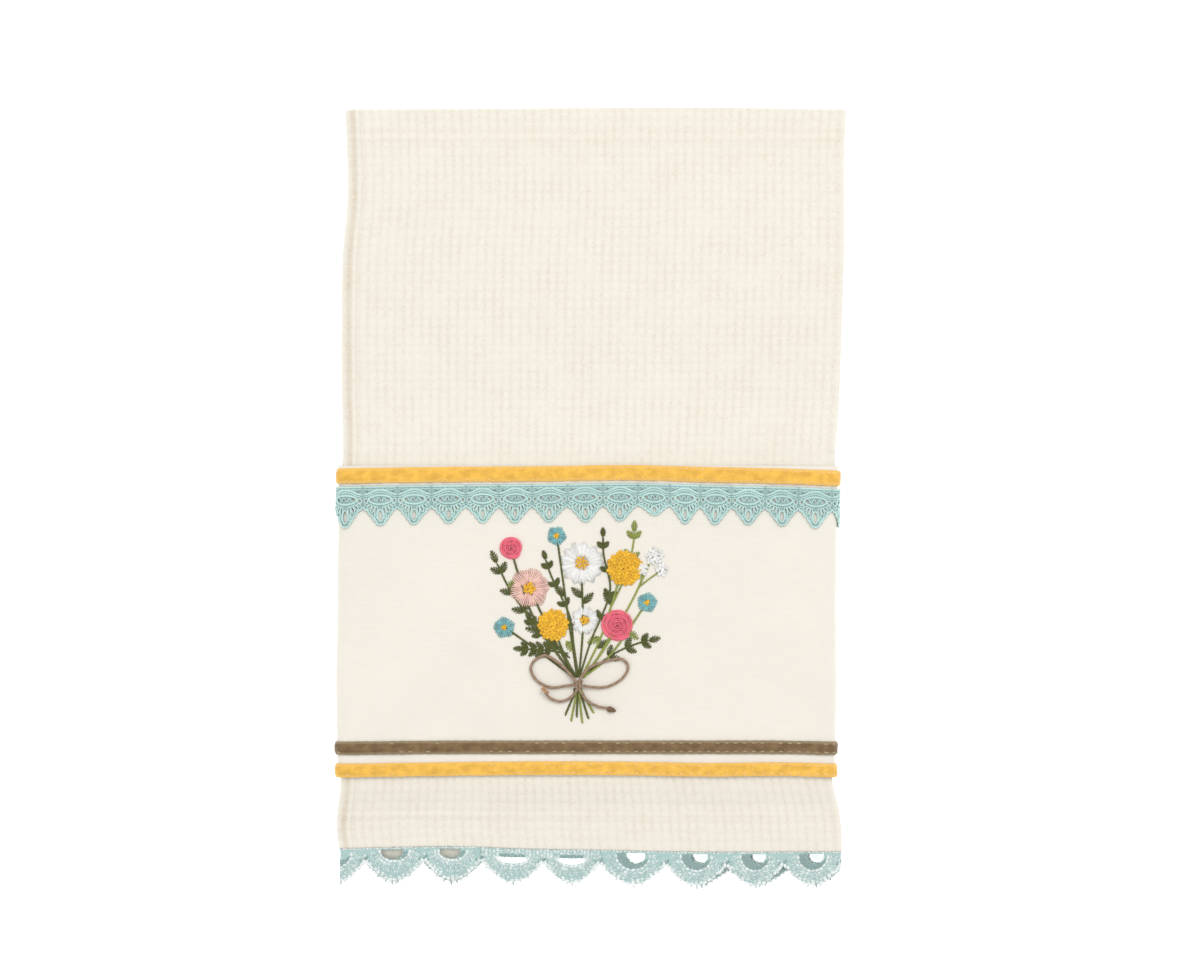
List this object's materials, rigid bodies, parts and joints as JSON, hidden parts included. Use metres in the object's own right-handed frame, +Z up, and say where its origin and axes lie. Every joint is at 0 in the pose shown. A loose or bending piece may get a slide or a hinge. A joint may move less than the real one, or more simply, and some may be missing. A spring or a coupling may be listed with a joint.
{
  "type": "folded kitchen towel",
  "caption": "Waffle kitchen towel folded flat, with a plain panel, velvet ribbons, pointed lace, a scalloped crochet edge and a twine bow.",
  "frame": {"origin": "middle of the folded towel, on the surface that it lies on", "axes": "+X to the right of the front, +Y towards the top fold, +Z up out of the front face"},
  "size_m": [0.2148, 0.3278, 0.0152],
  "materials": {
    "waffle_cloth": "matte cream cotton in a waffle weave",
    "plain_cloth": "matte cream cotton in a plain weave",
    "yellow_velvet": "golden yellow velvet ribbon with woven edges",
    "brown_velvet": "brown velvet ribbon with lighter woven edges",
    "teal_lace": "pale teal corded lace",
    "teal_crochet": "pale teal crochet cotton",
    "twine": "taupe twisted twine"
  },
  "bodies": {
    "root": {"towel_body": "waffle_cloth", "cream_panel": "plain_cloth", "upper_ribbon": "yellow_velvet", "middle_ribbon": "brown_velvet", "lower_ribbon": "yellow_velvet", "point_lace": "teal_lace", "hem_lace": "teal_crochet", "twine_bow": "twine"}
  },
  "joints": []
}
